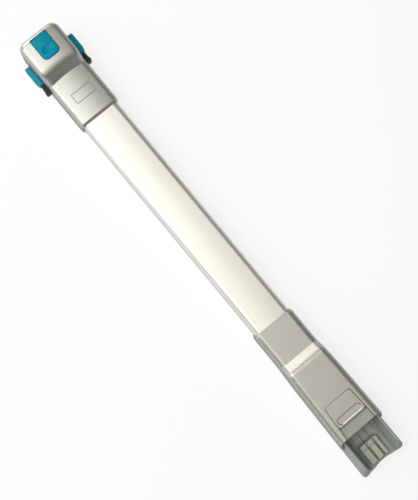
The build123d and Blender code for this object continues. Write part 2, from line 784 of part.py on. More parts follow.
def lower_form(inset):
    """Outer form of the lower coupling out to the end of the neck, or moved inwards by a wall."""
    x0 = SLEEVE_START if inset == 0 else SLEEVE_START - PAST
    x1 = LOWER_END + PAST
    slope = Vector(RAMP_RUN, RAMP_RISE)
    turn = inset * (slope.length - RAMP_RUN) / RAMP_RISE
    base = LOWER_END - RAMP_BASE + turn
    side = polygon(
        Plane.XZ,
        [
            (x0, inset, 0),
            (x1, inset, 0),
            (x1, RAISED_TOP - inset, 0),
            (base + RAMP_RUN, RAISED_TOP - inset, RAMP_TOP_ROUND - inset),
            (base, SLEEVE_TOP - inset, RAMP_BASE_ROUND + inset),
            (x0, SLEEVE_TOP - inset, 0),
        ],
    )
    half = SLEEVE_HALF - inset
    flare = LOWER_END - RAMP_BASE
    outline = [
        (x0, half, 0),
        (flare, half, FLARE_ROUND),
        (flare + FLARE_RUN, half + FLARE_STEP, FLARE_ROUND),
        (x1, half + FLARE_END, 0),
    ]
    plan = polygon(Plane.XY, [(a, -b, r) for a, b, r in outline] + outline[::-1])
    form = rounded_form(extrude(side, LENGTH, both=True), plan, [x0, x1], FRONT_ROUND - inset)
    return fillet(rim_edges(form, False, [x0, x1]), REAR_ROUND - inset)


def behind_rake(gap):
    """Space on the tube's side of the shells' raked end, moved along X by a gap."""
    front = LOWER_END - RAKE_FRONT + gap
    side = LOWER_END - RAKE_SIDE + gap
    lean = (side - front) / (RAISED_TOP - RAKE_HEIGHT)
    face = polygon(
        Plane.XZ,
        [
            (-LENGTH, -LENGTH, 0),
            (side, -LENGTH, 0),
            (side, RAKE_HEIGHT, RAKE_ROUND),
            (front - lean * LENGTH, RAISED_TOP + LENGTH, 0),
            (-LENGTH, RAISED_TOP + LENGTH, 0),
        ],
    )
    return extrude(face, LENGTH, both=True)


def lower_shells():
    """Both shells of the lower coupling in one, before they are parted."""
    cavity = lower_form(SHELL_WALL) & block(TUBE_END, LENGTH, -LENGTH, LENGTH, -LENGTH, LENGTH)
    bore = extrude(tube_outline(SLEEVE_START - PAST, TUBE_FIT), TUBE_END - SLEEVE_START + 2 * PAST)
    outer = lower_form(0)
    sleeve_start = outer.faces().sort_by(Axis.X)[0]
    return (bevelled(sleeve_start, LOWER_BEVEL_RUN) & behind_rake(0)) - cavity - bore


def cap_half(distance):
    """Half the width of the latch button at a distance from the lower end."""
    share = (CAP_START - distance) / CAP_LENGTH
    return (CAP_WIDTH_UPPER + (CAP_WIDTH_LOWER - CAP_WIDTH_UPPER) * share) / 2


def latch_plan(start, end, gap, corners):
    """Outline across the latch button from one distance to another, widening to the lower end."""
    x0 = LOWER_END - start
    x1 = LOWER_END - end
    half0 = cap_half(start) + gap
    half1 = cap_half(end) + gap
    upper, lower = corners
    return polygon(
        Plane.XY,
        [(x0, -half0, upper), (x1, -half1, lower), (x1, half1, lower), (x0, half0, upper)],
    )


def lever_pivot():
    """Place of the latch lever's pin along X and Z."""
    return LOWER_END - LEVER_PIVOT, RAISED_TOP - SHELL_WALL - LEVER_HEAD


def make_lower_front_shell(shells):
    """Front shell: sleeve, ramp, raised flat and the open window of the latch button."""
    shell = split_front(shells)
    window = extrude(latch_plan(CAP_START + CAP_GAP, 0, CAP_GAP, (CAP_CORNER, 0)), LENGTH)
    shell -= window & block(-LENGTH, LENGTH, -LENGTH, LENGTH, NECK_RIM, LENGTH)
    x, z = lever_pivot()
    inner = LEVER_BARREL_WIDTH / 2 + CAP_GAP
    for y0, y1 in [(inner, inner + RIB_THICKNESS), (-inner - RIB_THICKNESS, -inner)]:
        shell += pin_rib(x, z, y0, y1, RAISED_TOP - SHELL_WALL / 2, LATCH_PIN_RADIUS)
    return shell


def neck_screw_places():
    """Centres of the screws that hold the neck to the rear shell."""
    x = LOWER_END - NECK_SCREW
    return [(x, SCREW_SPREAD / 2), (x, -SCREW_SPREAD / 2)]


def make_lower_rear_shell(shells):
    """Rear shell with its screw holes."""
    shell = split_rear(shells, lower_form(SEAM_DEPTH))
    for x, y in tube_screw_places()[1] + neck_screw_places():
        shell -= screw_clearance(x, y)
    return shell


# Neck


def neck_end_cut():
    """Hollow in the neck's end edge: a large upright cylinder between the two side walls."""
    radius = (TROUGH_TOP**2 + NECK_HOLLOW**2) / (2 * NECK_HOLLOW)
    return rod_z(LOWER_END - NECK_HOLLOW + radius, 0, radius, -LENGTH, LENGTH)


def neck_outside():
    """Outside of the open neck: walls that lean in towards the rim, and an end that leans back."""
    section = polygon(
        Plane.YZ,
        [
            (-NECK_BASE_HALF, NECK_INSET, 0),
            (NECK_BASE_HALF, NECK_INSET, 0),
            (NECK_RIM_HALF, NECK_RIM, 0),
            (-NECK_RIM_HALF, NECK_RIM, 0),
        ],
    )
    side = polygon(
        Plane.XZ,
        [
            (0, NECK_INSET, 0),
            (LOWER_END, NECK_INSET, 0),
            (LOWER_END - NECK_END_RAKE, NECK_RIM, 0),
            (0, NECK_RIM, 0),
        ],
    )
    outside = extrude(section, LENGTH) & extrude(side, LENGTH, both=True)
    corners = [edge for edge in outside.edges() if edge.center().X > LOWER_END - NECK_END_RAKE]
    corners = [edge for edge in corners if edge.bounding_box().size.Z > SAME]
    outside = fillet(corners, NECK_TIP_ROUND)
    return fillet(outside.edges().group_by(Axis.Z)[-1], RIM_ROUND)


def trough():
    """Open space of the neck: sloping walls above a ledge, and a floor that widens to the end."""
    x0 = LOWER_END - NECK_DUCT_END
    ledge = WEB_TOP + LEDGE_RISE
    walls = polygon(
        Plane.YZ.offset(x0),
        [
            (-TROUGH_LEDGE, ledge, 0),
            (TROUGH_LEDGE, ledge, 0),
            (TROUGH_TOP, NECK_RIM, 0),
            (TROUGH_TOP, LENGTH, 0),
            (-TROUGH_TOP, LENGTH, 0),
            (-TROUGH_TOP, NECK_RIM, 0),
        ],
    )
    space = extrude(walls, NECK_DUCT_END + PAST)
    bend0 = LOWER_END - LEDGE_BEND_START
    bend1 = LOWER_END - LEDGE_BEND_END
    x1 = LOWER_END + PAST
    outline = [
        (x0, LEDGE_NARROW, 0),
        (bend0, LEDGE_NARROW, LEDGE_ROUND),
        (bend1, TROUGH_LEDGE, LEDGE_ROUND),
        (x1, TROUGH_LEDGE, 0),
    ]
    floor = polygon(Plane.XY.offset(WEB_TOP), [(a, -b, r) for a, b, r in outline] + outline[::-1])
    return space + extrude(floor, LEDGE_RISE + PAST)


def make_neck():
    """Grey duct from the tube's end, widening into a collar and the open neck."""
    duct_end = LOWER_END - NECK_DUCT_END
    neck = (lower_form(NECK_INSET) & neck_outside()) - behind_rake(NECK_FIT)
    neck = neck - neck_end_cut() - trough()
    rim = neck.edges().filter_by(Axis.X).group_by(Axis.Z)[-1]
    neck = fillet([edge for edge in rim if abs(edge.center().Y) < TROUGH_TOP + SAME], RIM_INNER_ROUND)
    collar = lower_form(SHELL_WALL + NECK_FIT) & behind_rake(2 * NECK_FIT)
    collar &= block(LOWER_END - NECK_COLLAR, LENGTH, -LENGTH, LENGTH, 0, NECK_RIM)
    neck += collar
    neck += duct(NECK_START, duct_end, LINER_HALF, LINER_BOTTOM, LINER_TOP, LINER_CORNER)
    neck -= duct(NECK_START - PAST, duct_end + PAST, SOCKET_HALF, WEB_TOP, SOCKET_TOP, SOCKET_CORNER)
    neck -= trough()
    half = CHANNEL_WIDTH / 2
    tunnel_end = LOWER_END - LOWER_BLOCK_END - LOWER_BLOCK_LENGTH / 2
    neck -= block(NECK_START - PAST, tunnel_end, -half, half, CHANNEL_BOTTOM, CHANNEL_TOP)
    block_start = LOWER_END - LOWER_BLOCK_END - LOWER_BLOCK_LENGTH
    half = GROOVE_WIDTH / 2
    low = WEB_TOP - GROOVE_DEPTH
    for y in contact_sides():
        neck -= strip_leg(y, STRIP_FIT)
        neck -= block(duct_end, block_start, y - half, y + half, low, WEB_TOP + PAST)
    for x, y in neck_screw_places():
        neck -= rod_z(x, y, SCREW_RADIUS + SCREW_FIT, 0, SCREW_TIP + JOIN)
    return neck


# Contacts of the neck


def strip_start():
    """Upper end of the brass strips, just past the block's heads."""
    return LOWER_END - LOWER_BLOCK_END - LOWER_BLOCK_LENGTH + BLOCK_HEAD_LENGTH


def strip_leg(y, grow):
    """Upright leg of a strip, down to its lead, grown by a clearance for its hole."""
    x0 = strip_start()
    half = (SLOT_WIDTH - 2 * STRIP_FIT) / 2 + grow
    top = WEB_TOP + BLOCK_HEIGHT - SLOT_DEPTH + CONTACT_THICKNESS
    low = CONTACT_Z - LEAD_DIAMETER / 2
    return block(x0 - grow, x0 + CONTACT_THICKNESS + grow, y - half, y + half, low, top)


def make_lower_strips():
    """Two brass strips that lie in the block's slots and turn down to the leads."""
    strips = []
    x1 = LOWER_END - LOWER_BLOCK_END - BLOCK_ROUND
    z0 = WEB_TOP + BLOCK_HEIGHT - SLOT_DEPTH
    half = (SLOT_WIDTH - 2 * STRIP_FIT) / 2
    for y in contact_sides():
        strip = block(strip_start(), x1, y - half, y + half, z0, z0 + CONTACT_THICKNESS)
        strips.append(strip + strip_leg(y, 0))
    return Compound(children=strips)


def make_lower_block():
    """Pale terminal block: three bars with raised heads and two slots for the strips."""
    x1 = LOWER_END - LOWER_BLOCK_END
    x0 = x1 - LOWER_BLOCK_LENGTH
    left = -BLOCK_WIDTH / 2 - LOWER_BLOCK_OFFSET
    right = BLOCK_WIDTH / 2 - LOWER_BLOCK_OFFSET
    top = WEB_TOP + BLOCK_HEIGHT
    part = block(x0, x1, left, right, WEB_TOP, top)
    part += block(x0, x0 + BLOCK_HEAD_LENGTH, left, right, WEB_TOP, top + BLOCK_HEAD_RISE)
    for y in contact_sides():
        y0 = y - SLOT_WIDTH / 2
        y1 = y + SLOT_WIDTH / 2
        part -= block(strip_start(), x1 + PAST, y0, y1, top - SLOT_DEPTH, top + PAST)
        part -= block(x0 - PAST, strip_start() + PAST, y0, y1, top, top + BLOCK_HEAD_RISE + PAST)
    heads = part.edges().filter_by(Axis.X).group_by(Axis.Z)[-1]
    part = fillet(heads, BLOCK_ROUND)
    for y in contact_sides():
        part -= strip_leg(y, STRIP_FIT)
    return part


def make_lead(y):
    """Insulated lead from the socket's blade to the neck's strip."""
    return rod_x(y, CONTACT_Z, LEAD_DIAMETER / 2, SOCKET_END, strip_start())


# Latch of the lower coupling


def make_cap():
    """Silver cap of the latch button with its finger recess."""
    end = CAP_START - CAP_LENGTH
    cap = extrude(latch_plan(CAP_START, end, 0, (CAP_CORNER, CAP_CORNER)), LENGTH) & lower_form(0)
    cap &= block(-LENGTH, LENGTH, -LENGTH, LENGTH, RAISED_TOP - CAP_THICKNESS, LENGTH)
    cap = fillet(cap.edges().group_by(Axis.Z)[-1], CAP_EDGE)
    x = LOWER_END - end - RECESS_FROM_EDGE
    floor = Pos(x, 0, RAISED_TOP - RECESS_DEPTH) * Rot(0, 0, 90) * SlotOverall(RECESS_LENGTH, RECESS_WIDTH)
    return cap - extrude(floor, RECESS_DEPTH + PAST, taper=-RECESS_TAPER)


def make_lever():
    """Grey latch lever: barrel, plate under the cap and the raised latch plate."""
    x, z = lever_pivot()
    low = RAISED_TOP - CAP_THICKNESS - LEVER_THICKNESS
    top = RAISED_TOP - CAP_THICKNESS
    lip_start = CAP_START - CAP_LENGTH - LIP_GAP
    end = lip_start - LIP_LENGTH
    plate = extrude(latch_plan(LEVER_PIVOT, end, 0, (LIP_CORNER, LIP_CORNER)), LEVER_THICKNESS)
    lip = extrude(latch_plan(lip_start, end, 0, (0, LIP_CORNER)), LEVER_THICKNESS + LIP_RISE)
    lever = Pos(0, 0, low) * (plate + lip)
    barrel = LEVER_BARREL_WIDTH / 2
    inner = barrel + CAP_GAP
    room = RIB_THICKNESS + 2 * CAP_GAP
    for y0 in [inner - CAP_GAP, -inner - room + CAP_GAP]:
        reach = RIB_LENGTH / 2 + 3 * CAP_GAP
        lever -= block(x - reach, x + reach, y0, y0 + room, low - PAST, top + PAST)
    lever += rod_y(x, z, LEVER_BARREL, -barrel, barrel)
    return lever - rod_y(x, z, LATCH_PIN_RADIUS + PIN_FIT, -LENGTH, LENGTH)


def make_lever_pin():
    """Steel pin of the latch lever."""
    x, z = lever_pivot()
    half = LEVER_BARREL_WIDTH / 2 + CAP_GAP + RIB_THICKNESS - PIN_END_GAP
    return rod_y(x, z, LATCH_PIN_RADIUS, -half, half)


def make_lever_spring():
    """Leaf spring between the neck's duct and the latch lever."""
    foot = LINER_TOP + SPRING_THICKNESS / 2
    top = RAISED_TOP - CAP_THICKNESS - LEVER_THICKNESS - SPRING_THICKNESS / 2
    bend = LOWER_END - CAP_START + CAP_LENGTH / 2
    points = [(bend + SPRING_BASE, foot), (bend, foot), (bend + SPRING_BASE - SPRING_THICKNESS, top)]
    return bent_strip(Plane.XZ, points, SPRING_WIDTH)


def both_sides(name, part):
    """A right-hand piece and its mirror image, under their two names."""
    return {"right_" + name: part, "left_" + name: mirror(part, Plane.XZ)}


def make_parts():
    """Every piece of the tube under its own name."""
    upper = upper_shells()
    lower = lower_shells()
    upper_places, lower_places = tube_screw_places()
    upper_places = upper_places + liner_screw_places()
    lower_places = lower_places + neck_screw_places()
    right, left = contact_sides()
    parts = {
        "tube_extrusion": make_tube(),
        "upper_tube_gasket": make_gasket(LINER_END),
        "lower_tube_gasket": make_gasket(TUBE_END),
        "upper_front_shell": make_upper_front_shell(upper),
        "upper_rear_shell": make_upper_rear_shell(upper),
        "upper_socket_liner": make_liner(),
        "upper_socket_seal": make_socket_seal(),
        "upper_terminal_block": make_upper_block(),
        "upper_contact_blades": make_upper_blades(),
        "upper_release_button": make_button(),
        "upper_button_pin": make_button_pin(),
        "upper_button_spring": make_button_spring(),
        "upper_rear_screws": Compound(children=[screw(x, y) for x, y in upper_places]),
        "positive_lead": make_lead(right),
        "negative_lead": make_lead(left),
        "lower_front_shell": make_lower_front_shell(lower),
        "lower_rear_shell": make_lower_rear_shell(lower),
        "lower_neck": make_neck(),
        "lower_terminal_block": make_lower_block(),
        "lower_contact_strips": make_lower_strips(),
        "lower_button_cap": make_cap(),
        "lower_latch_lever": make_lever(),
        "lower_latch_pin": make_lever_pin(),
        "lower_latch_spring": make_lever_spring(),
        "lower_rear_screws": Compound(children=[screw(x, y) for x, y in lower_places]),
    }
    parts.update(both_sides("clip_bracket", make_clip_bracket()))
    parts.update(both_sides("clip_lever", make_clip_lever()))
    parts.update(both_sides("clip_pin", make_clip_pin()))
    parts.update(both_sides("clip_spring", make_clip_spring()))
    return parts


os.makedirs("parts", exist_ok=True)
for name, part in make_parts().items():
    export_step(part, os.path.join("parts", name + ".step"))
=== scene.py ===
"""Dressed scene of a flattened vacuum extension tube with moulded couplings at both ends."""
import json
import logging
import math
from dataclasses import dataclass
from enum import Enum

import bmesh
import bpy
from mathutils import Matrix, Vector


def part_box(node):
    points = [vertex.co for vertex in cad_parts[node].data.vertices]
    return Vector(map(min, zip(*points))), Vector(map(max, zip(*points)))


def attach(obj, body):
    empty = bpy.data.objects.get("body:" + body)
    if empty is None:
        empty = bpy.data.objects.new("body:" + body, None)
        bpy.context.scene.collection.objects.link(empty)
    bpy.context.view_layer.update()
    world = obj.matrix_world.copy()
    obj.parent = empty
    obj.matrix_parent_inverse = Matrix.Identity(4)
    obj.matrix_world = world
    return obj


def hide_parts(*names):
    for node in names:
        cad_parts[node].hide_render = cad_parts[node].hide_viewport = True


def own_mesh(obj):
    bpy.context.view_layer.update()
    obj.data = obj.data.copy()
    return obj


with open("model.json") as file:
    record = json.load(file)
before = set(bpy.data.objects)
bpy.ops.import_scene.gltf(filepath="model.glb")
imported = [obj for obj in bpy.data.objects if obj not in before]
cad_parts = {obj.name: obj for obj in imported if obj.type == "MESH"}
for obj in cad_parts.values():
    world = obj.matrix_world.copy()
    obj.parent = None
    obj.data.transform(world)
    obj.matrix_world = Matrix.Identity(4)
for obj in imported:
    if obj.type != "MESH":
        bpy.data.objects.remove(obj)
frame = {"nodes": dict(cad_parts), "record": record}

LOG = logging.getLogger("extension_tube")
MM = 0.001
# Painted shade in gaps and inner corners, from ambient occlusion: its colour, the openness at which it starts and
# is full, and the rays that measure it.
PAINTED_SHADE_COLOUR = "#1E211F"
PAINTED_SHADE_FROM = 0.95
PAINTED_SHADE_FULL = 0.25
PAINTED_SHADE_RAYS = 8
# How far the broad change of tone counts beside the grain, and the span that the two then fill.
CLOUD_SHARE = 0.5
TONE_SPAN = (0.35, 1.15)
BUMP_STRENGTH = 0.6
NOISE_ROUGHNESS = 0.55


# Node and colour helpers


def linear(code: str) -> tuple[float, float, float, float]:
    """Turns an sRGB hex colour into a linear colour.

    Args:
        code: six hex digits, with or without a leading #.

    Returns:
        Linear red, green and blue with an alpha of 1.
    """
    digits = code.lstrip("#")
    channels = [int(digits[i:i + 2], 16) / 255 for i in (0, 2, 4)]
    low = [c / 12.92 if c <= 0.04045 else ((c + 0.055) / 1.055) ** 2.4 for c in channels]
    return (low[0], low[1], low[2], 1.0)


def add_node(
    tree: bpy.types.NodeTree, kind: str, settings: dict | None = None, inputs: dict | None = None
) -> bpy.types.Node:
    """Adds a node with its settings, and sets or links its inputs.

    Args:
        tree: the node tree that gets the node.
        kind: the node's type name.
        settings: attributes of the node.
        inputs: socket name or number to a value, or to an output socket that is linked to it.

    Returns:
        The new node.
    """
    node = tree.nodes.new(kind)
    for name, value in (settings or {}).items():
        setattr(node, name, value)
    for key, value in (inputs or {}).items():
        socket = node.inputs[key]
        if isinstance(value, bpy.types.NodeSocket):
            tree.links.new(value, socket)
        else:
            socket.default_value = value
    return node


# Finishes


class Grain(Enum):
    """How a finish's surface was made, which sets its pattern."""

    DRAWN = "drawn"
    FLAKE = "flake"
    SPARK = "spark"
    ROLLED = "rolled"
    PLAIN = "plain"


# Octaves of noise in the patterns that are made of it.
OCTAVES = {Grain.DRAWN: 4.0, Grain.ROLLED: 3.0, Grain.SPARK: 2.0, Grain.PLAIN: 1.0}


@dataclass(frozen=True)
class Finish:
    """One material of the tube, with its colour, gloss and surface pattern.

    Attributes:
        name: what the real material is.
        slot: the record's material slot.
        colour: sRGB hex colour of most of the surface.
        shade: sRGB hex colour of the pattern's other end.
        metallic: how far it reflects as metal.
        roughness: middle roughness.
        grain: kind of pattern.
        grain_mm: size of the pattern along X, Y and Z.
        relief_mm: height of the pattern.
        spread: change of roughness over the pattern.
        cloud_mm: size of the broad, faint change of tone.
        flop: sRGB hex tint of what it reflects at a low angle.
        sheen: specular level, 0.5 for a plain plastic.
        painted_shade: how far painted shade darkens its gaps and inner corners, from 0 to 1.
        painted_shade_mm: how wide the band of painted shade along a gap is.
    """

    name: str
    slot: str
    colour: str
    shade: str
    metallic: float
    roughness: float
    grain: Grain
    grain_mm: tuple[float, float, float]
    relief_mm: float
    spread: float
    cloud_mm: float = 40.0
    flop: str = "#FFFFFF"
    sheen: float = 0.5
    painted_shade: float = 0.0
    painted_shade_mm: float = 3.0

    def build(self) -> bpy.types.Material:
        """Makes the material.

        Returns:
            A node material that reads Object coordinates, in metres.
        """
        material = bpy.data.materials.new(self.name)
        material.use_nodes = True
        tree = material.node_tree
        tree.nodes.clear()
        place = add_node(tree, "ShaderNodeTexCoord").outputs["Object"]
        pattern = self.pattern(tree, place)
        cloud = add_node(
            tree, "ShaderNodeTexNoise", inputs={"Vector": place, "Scale": 1 / (self.cloud_mm * MM), "Detail": 2.0}
        ).outputs["Fac"]
        blend = add_node(
            tree, "ShaderNodeMath", {"operation": "MULTIPLY_ADD"}, {0: cloud, 1: CLOUD_SHARE, 2: pattern}
        ).outputs[0]
        share = add_node(
            tree,
            "ShaderNodeMapRange",
            inputs={"Value": blend, "From Min": TONE_SPAN[0], "From Max": TONE_SPAN[1]},
        ).outputs[0]
        colour = add_node(
            tree,
            "ShaderNodeMix",
            {"data_type": "RGBA"},
            {"Factor": share, 6: linear(self.colour), 7: linear(self.shade)},
        ).outputs[2]
        # Painted shade: the colour darkens in gaps and inner corners.
        if self.painted_shade:
            colour = self.paint_shade(tree, colour)
        rough = add_node(
            tree,
            "ShaderNodeMapRange",
            inputs={
                "Value": pattern,
                "To Min": self.roughness - self.spread,
                "To Max": self.roughness + self.spread,
            },
        ).outputs[0]
        inputs = {
            "Base Color": colour,
            "Metallic": self.metallic,
            "Roughness": rough,
            "Specular Tint": linear(self.flop),
            "Specular IOR Level": self.sheen,
        }
        if self.relief_mm:
            inputs["Normal"] = add_node(
                tree,
                "ShaderNodeBump",
                inputs={"Strength": BUMP_STRENGTH, "Distance": self.relief_mm * MM, "Height": pattern},
            ).outputs[0]
        shader = add_node(tree, "ShaderNodeBsdfPrincipled", inputs=inputs).outputs[0]
        add_node(tree, "ShaderNodeOutputMaterial", inputs={"Surface": shader})
        return material

    def paint_shade(self, tree: bpy.types.NodeTree, colour: bpy.types.NodeSocket) -> bpy.types.NodeSocket:
        """Paints shade into the colour in gaps and inner corners, by ambient occlusion.

        Args:
            tree: the material's nodes.
            colour: the colour before the painted shade.

        Returns:
            The colour with painted shade.
        """
        openness = add_node(
            tree, "ShaderNodeAmbientOcclusion", {"samples": PAINTED_SHADE_RAYS}, {"Distance": self.painted_shade_mm * MM}
        ).outputs["AO"]
        share = add_node(
            tree,
            "ShaderNodeMapRange",
            inputs={"Value": openness, "From Min": PAINTED_SHADE_FROM, "From Max": PAINTED_SHADE_FULL, "To Max": self.painted_shade},
        ).outputs[0]
        return add_node(
            tree, "ShaderNodeMix", {"data_type": "RGBA"}, {"Factor": share, 6: colour, 7: linear(PAINTED_SHADE_COLOUR)}
        ).outputs[2]

    def pattern(self, tree: bpy.types.NodeTree, place: bpy.types.NodeSocket) -> bpy.types.NodeSocket:
        """Adds the surface pattern, from 0 to 1.

        Args:
            tree: the material's nodes.
            place: Object coordinates.

        Returns:
            The pattern's value.
        """
        scaled = add_node(
            tree, "ShaderNodeMapping", inputs={"Vector": place, "Scale": [1 / (s * MM) for s in self.grain_mm]}
        ).outputs[0]
        if self.grain is Grain.FLAKE:
            cell = add_node(tree, "ShaderNodeTexVoronoi", inputs={"Vector": scaled, "Scale": 1.0})
            return add_node(tree, "ShaderNodeSeparateColor", inputs={"Color": cell.outputs["Color"]}).outputs[0]
        noise = add_node(
            tree,
            "ShaderNodeTexNoise",
            inputs={
                "Vector": scaled,
                "Scale": 1.0,
                "Detail": OCTAVES[self.grain],
                "Roughness": NOISE_ROUGHNESS,
            },
        )
        return noise.outputs["Fac"]


# Drawn and etched, so it scatters light softly, with faint die lines along the tube.
ALUMINIUM = Finish(
    "satin_anodised_aluminium", "satin_aluminium", "#F8F8F5", "#F0F0EB", 0.8, 0.44, Grain.DRAWN,
    (90.0, 0.5, 0.5), 0.004, 0.05, flop="#B4B4B0",
)
# Flakes of aluminium lie flat in the lacquer, so it is bright face on and darker at a low angle.
# The flakes are drawn about ten times as coarse as real ones.
# Its gaps and inner corners get painted shade.
SILVER = Finish(
    "silver_lacquer_on_abs", "silver_paint", "#CACCC8", "#C1C3BE", 0.75, 0.4, Grain.FLAKE,
    (0.35, 0.35, 0.35), 0.0, 0.02, flop="#80807C", painted_shade=0.6, painted_shade_mm=2.0,
)
# Moulded in a spark-eroded tool: a fine, even, low sheen.
# Its gaps and inner corners get painted shade.
GREY = Finish(
    "moulded_grey_abs", "grey_plastic", "#B6BEB7", "#AAB2AB", 0.0, 0.48, Grain.SPARK, (0.5, 0.5, 0.5), 0.02, 0.05,
    painted_shade=0.8, painted_shade_mm=5.0,
)
# A paler, slightly waxy mix of the same plastic.
# Its gaps and inner corners get painted shade.
PALE = Finish(
    "moulded_pale_abs", "pale_plastic", "#C6D3C9", "#B6C4BA", 0.0, 0.45, Grain.SPARK, (0.5, 0.5, 0.5), 0.015, 0.05,
    painted_shade=0.7, painted_shade_mm=3.0,
)
# Dyed through and polished, so the colour is deep and highlights are small and clear.
TEAL = Finish(
    "moulded_teal_abs", "teal_plastic", "#0096B5", "#008EAC", 0.0, 0.2, Grain.PLAIN, (6.0, 6.0, 6.0), 0.01, 0.04,
    sheen=0.12,
)
# Glass fibres in the nylon leave a dull, nearly black face.
NYLON = Finish(
    "glass_filled_black_nylon", "black_nylon", "#0D0C0B", "#151312", 0.0, 0.6, Grain.SPARK,
    (0.6, 0.6, 0.6), 0.02, 0.06,
)
# Soft and matt, with a trace of bloom.
RUBBER = Finish(
    "moulded_black_rubber", "seal_rubber", "#1B1B1B", "#262626", 0.0, 0.7, Grain.SPARK, (0.8, 0.8, 0.8), 0.02, 0.05,
)
# Rolled strip: fine lines and a slightly dulled yellow-brown.
BRASS = Finish(
    "rolled_brass", "contact_brass", "#8E8067", "#776A55", 1.0, 0.34, Grain.ROLLED, (12.0, 0.3, 0.3), 0.004, 0.06,
)
# Ground and zinc plated, bright with a faint haze.
STEEL = Finish(
    "bright_zinc_plated_steel", "spring_steel", "#B8B8B6", "#A4A4A4", 1.0, 0.32, Grain.ROLLED,
    (3.0, 0.4, 0.4), 0.004, 0.06,
)
# Extruded sleeve: smooth, waxy red.
RED_PVC = Finish(
    "extruded_red_pvc", "red_insulation", "#B01F1A", "#9C1A16", 0.0, 0.45, Grain.PLAIN,
    (8.0, 2.0, 2.0), 0.004, 0.04,
)
# Extruded sleeve: smooth, waxy black.
BLACK_PVC = Finish(
    "extruded_black_pvc", "black_insulation", "#181818", "#222222", 0.0, 0.45, Grain.PLAIN,
    (8.0, 2.0, 2.0), 0.004, 0.04,
)
FINISHES = (ALUMINIUM, SILVER, GREY, PALE, TEAL, NYLON, RUBBER, BRASS, STEEL, RED_PVC, BLACK_PVC)


# Sub-assemblies


@dataclass
class SubAssembly:
    """A group of the tube's nodes, dressed by their record slots.

    Attributes:
        title: plain name for the log.
        nodes: CAD nodes that belong to it.
    """

    title: str
    nodes: tuple[str, ...] = ()

    def dress(self, materials: dict[str, bpy.types.Material]) -> None:
        """Gives each CAD node the material of its slot.

        Args:
            materials: record slot to material.
        """
        slots = {row["node"]: row["material_slot"] for row in frame["record"]["subparts"]}
        for name in self.nodes:
            mesh = frame["nodes"][name].data
            mesh.materials.clear()
            mesh.materials.append(materials[slots[name]])
            LOG.info("%s: %s in %s", self.title, name, slots[name])

    def build(self, materials: dict[str, bpy.types.Material]) -> None:
        """Builds the pieces that scene.py shapes itself; the plain group has none.

        Args:
            materials: record slot to material.
        """


@dataclass(frozen=True)
class LeafSpring:
    """Leaf spring in the CAD spring's shape.

    Attributes:
        name: the piece's name.
        node: the CAD node that it stands for.
        joint: the joint that presses it; not used.
        axis: direction from its foot to its tip; not used.
        keep: share of its height that is left at the end of the travel; not used.
    """

    name: str
    node: str
    joint: str
    axis: tuple[float, float, float]
    keep: float

    def build(self, material: bpy.types.Material) -> None:
        """Builds the spring in the CAD spring's shape and hangs it on the wand body.

        Args:
            material: the spring's finish.
        """
        data = frame["nodes"][self.node].data.copy()
        data.name = self.name
        data.materials.clear()
        data.materials.append(material)
        spring = bpy.data.objects.new(self.name, data)
        bpy.context.scene.collection.objects.link(spring)
        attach(spring, "wand")
        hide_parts(self.node)
        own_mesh(spring)


